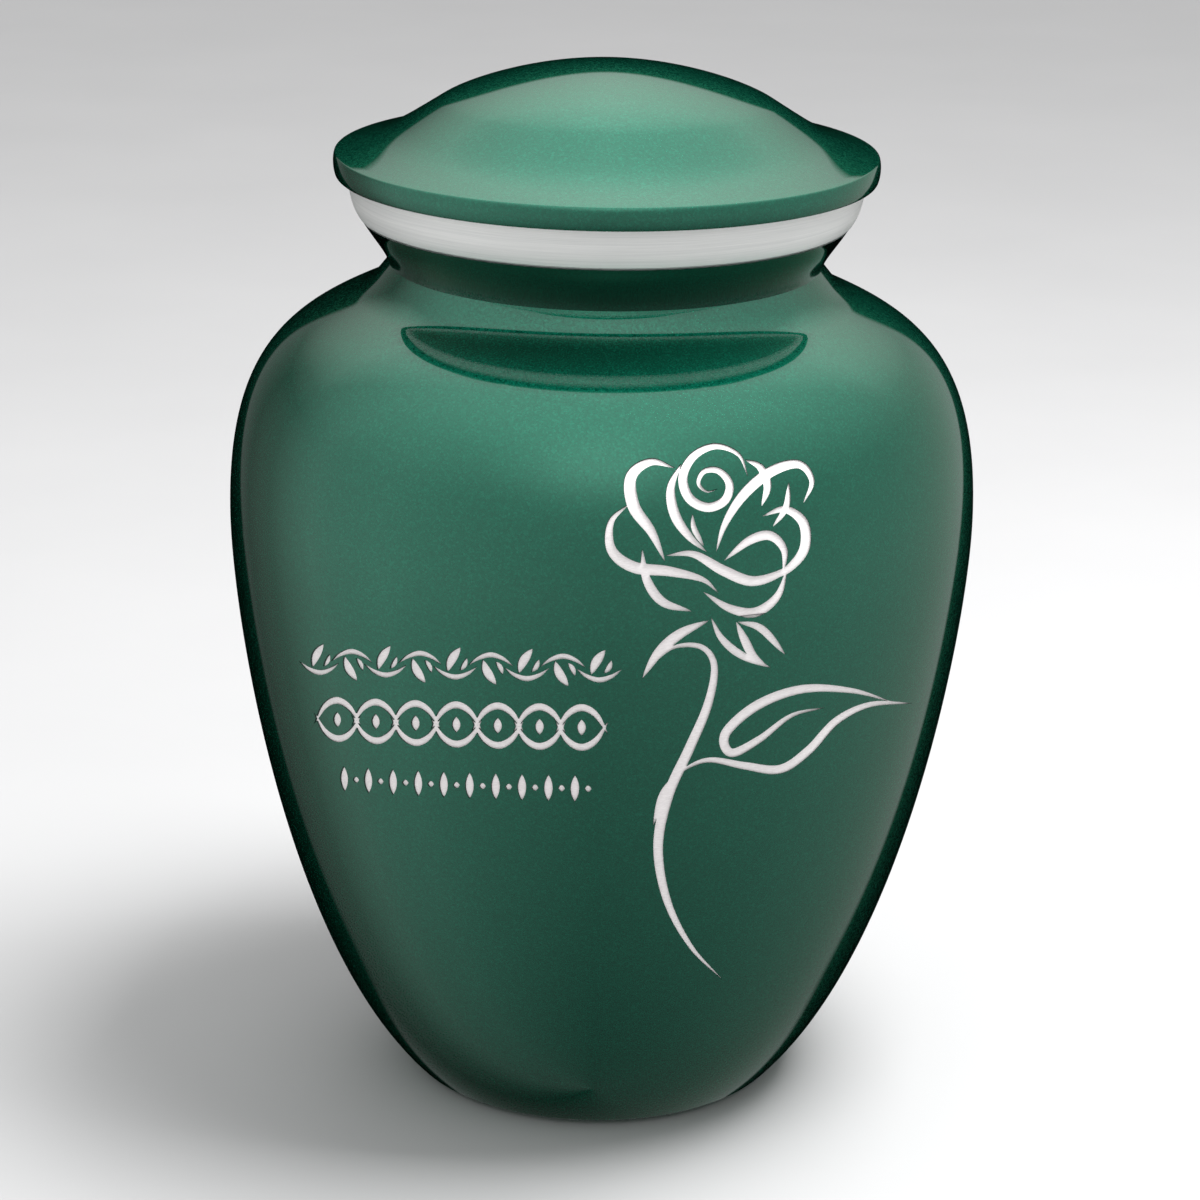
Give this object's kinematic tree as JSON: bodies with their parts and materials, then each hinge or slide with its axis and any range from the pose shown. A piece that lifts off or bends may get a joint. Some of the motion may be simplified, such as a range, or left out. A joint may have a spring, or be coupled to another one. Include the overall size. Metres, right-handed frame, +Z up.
{
  "type": "memorial urn",
  "caption": "Lidded round-shouldered metal urn with a screw-on domed lid, brushed neck band and line-engraved rose on a green metallic enamel body.",
  "frame": {"origin": "centre of the foot, on the surface the urn stands on", "axes": "+Z up along the axis of the urn, the engraved front faces -Y, +X to the right of the front"},
  "size_m": [0.178, 0.178, 0.2498],
  "materials": {
    "enamel": "gloss",
    "brushed_band": "satin",
    "bare_metal": "satin",
    "gasket": "matte",
    "felt": "matte"
  },
  "bodies": {
    "urn_body": {"base_felt": "felt", "base_plate": "bare_metal", "belly_shell": "enamel", "shoulder_shell": "enamel", "neck_collar": "enamel", "brushed_band": "brushed_band", "mouth_thread_ring": "bare_metal"},
    "seal": {"lid_gasket": "gasket"},
    "lid": {"lid_dome": "enamel", "lid_flange_plate": "bare_metal", "lid_thread_ring": "bare_metal"}
  },
  "joints": [
    {"name": "lid_rise", "type": "slide", "parent": "urn_body", "child": "seal", "axis": [0, 0, 1], "range_m": [0, 0.0301]},
    {"name": "lid_turn", "type": "hinge", "parent": "seal", "child": "lid", "pos_m": [0, 0, 0.22], "axis": [0, 0, 1], "range_deg": [0, 1800]}
  ],
  "couplings": [
    {"joint": "lid_rise", "follows": "lid_turn", "m_per_rad": 0.00095493}
  ]
}
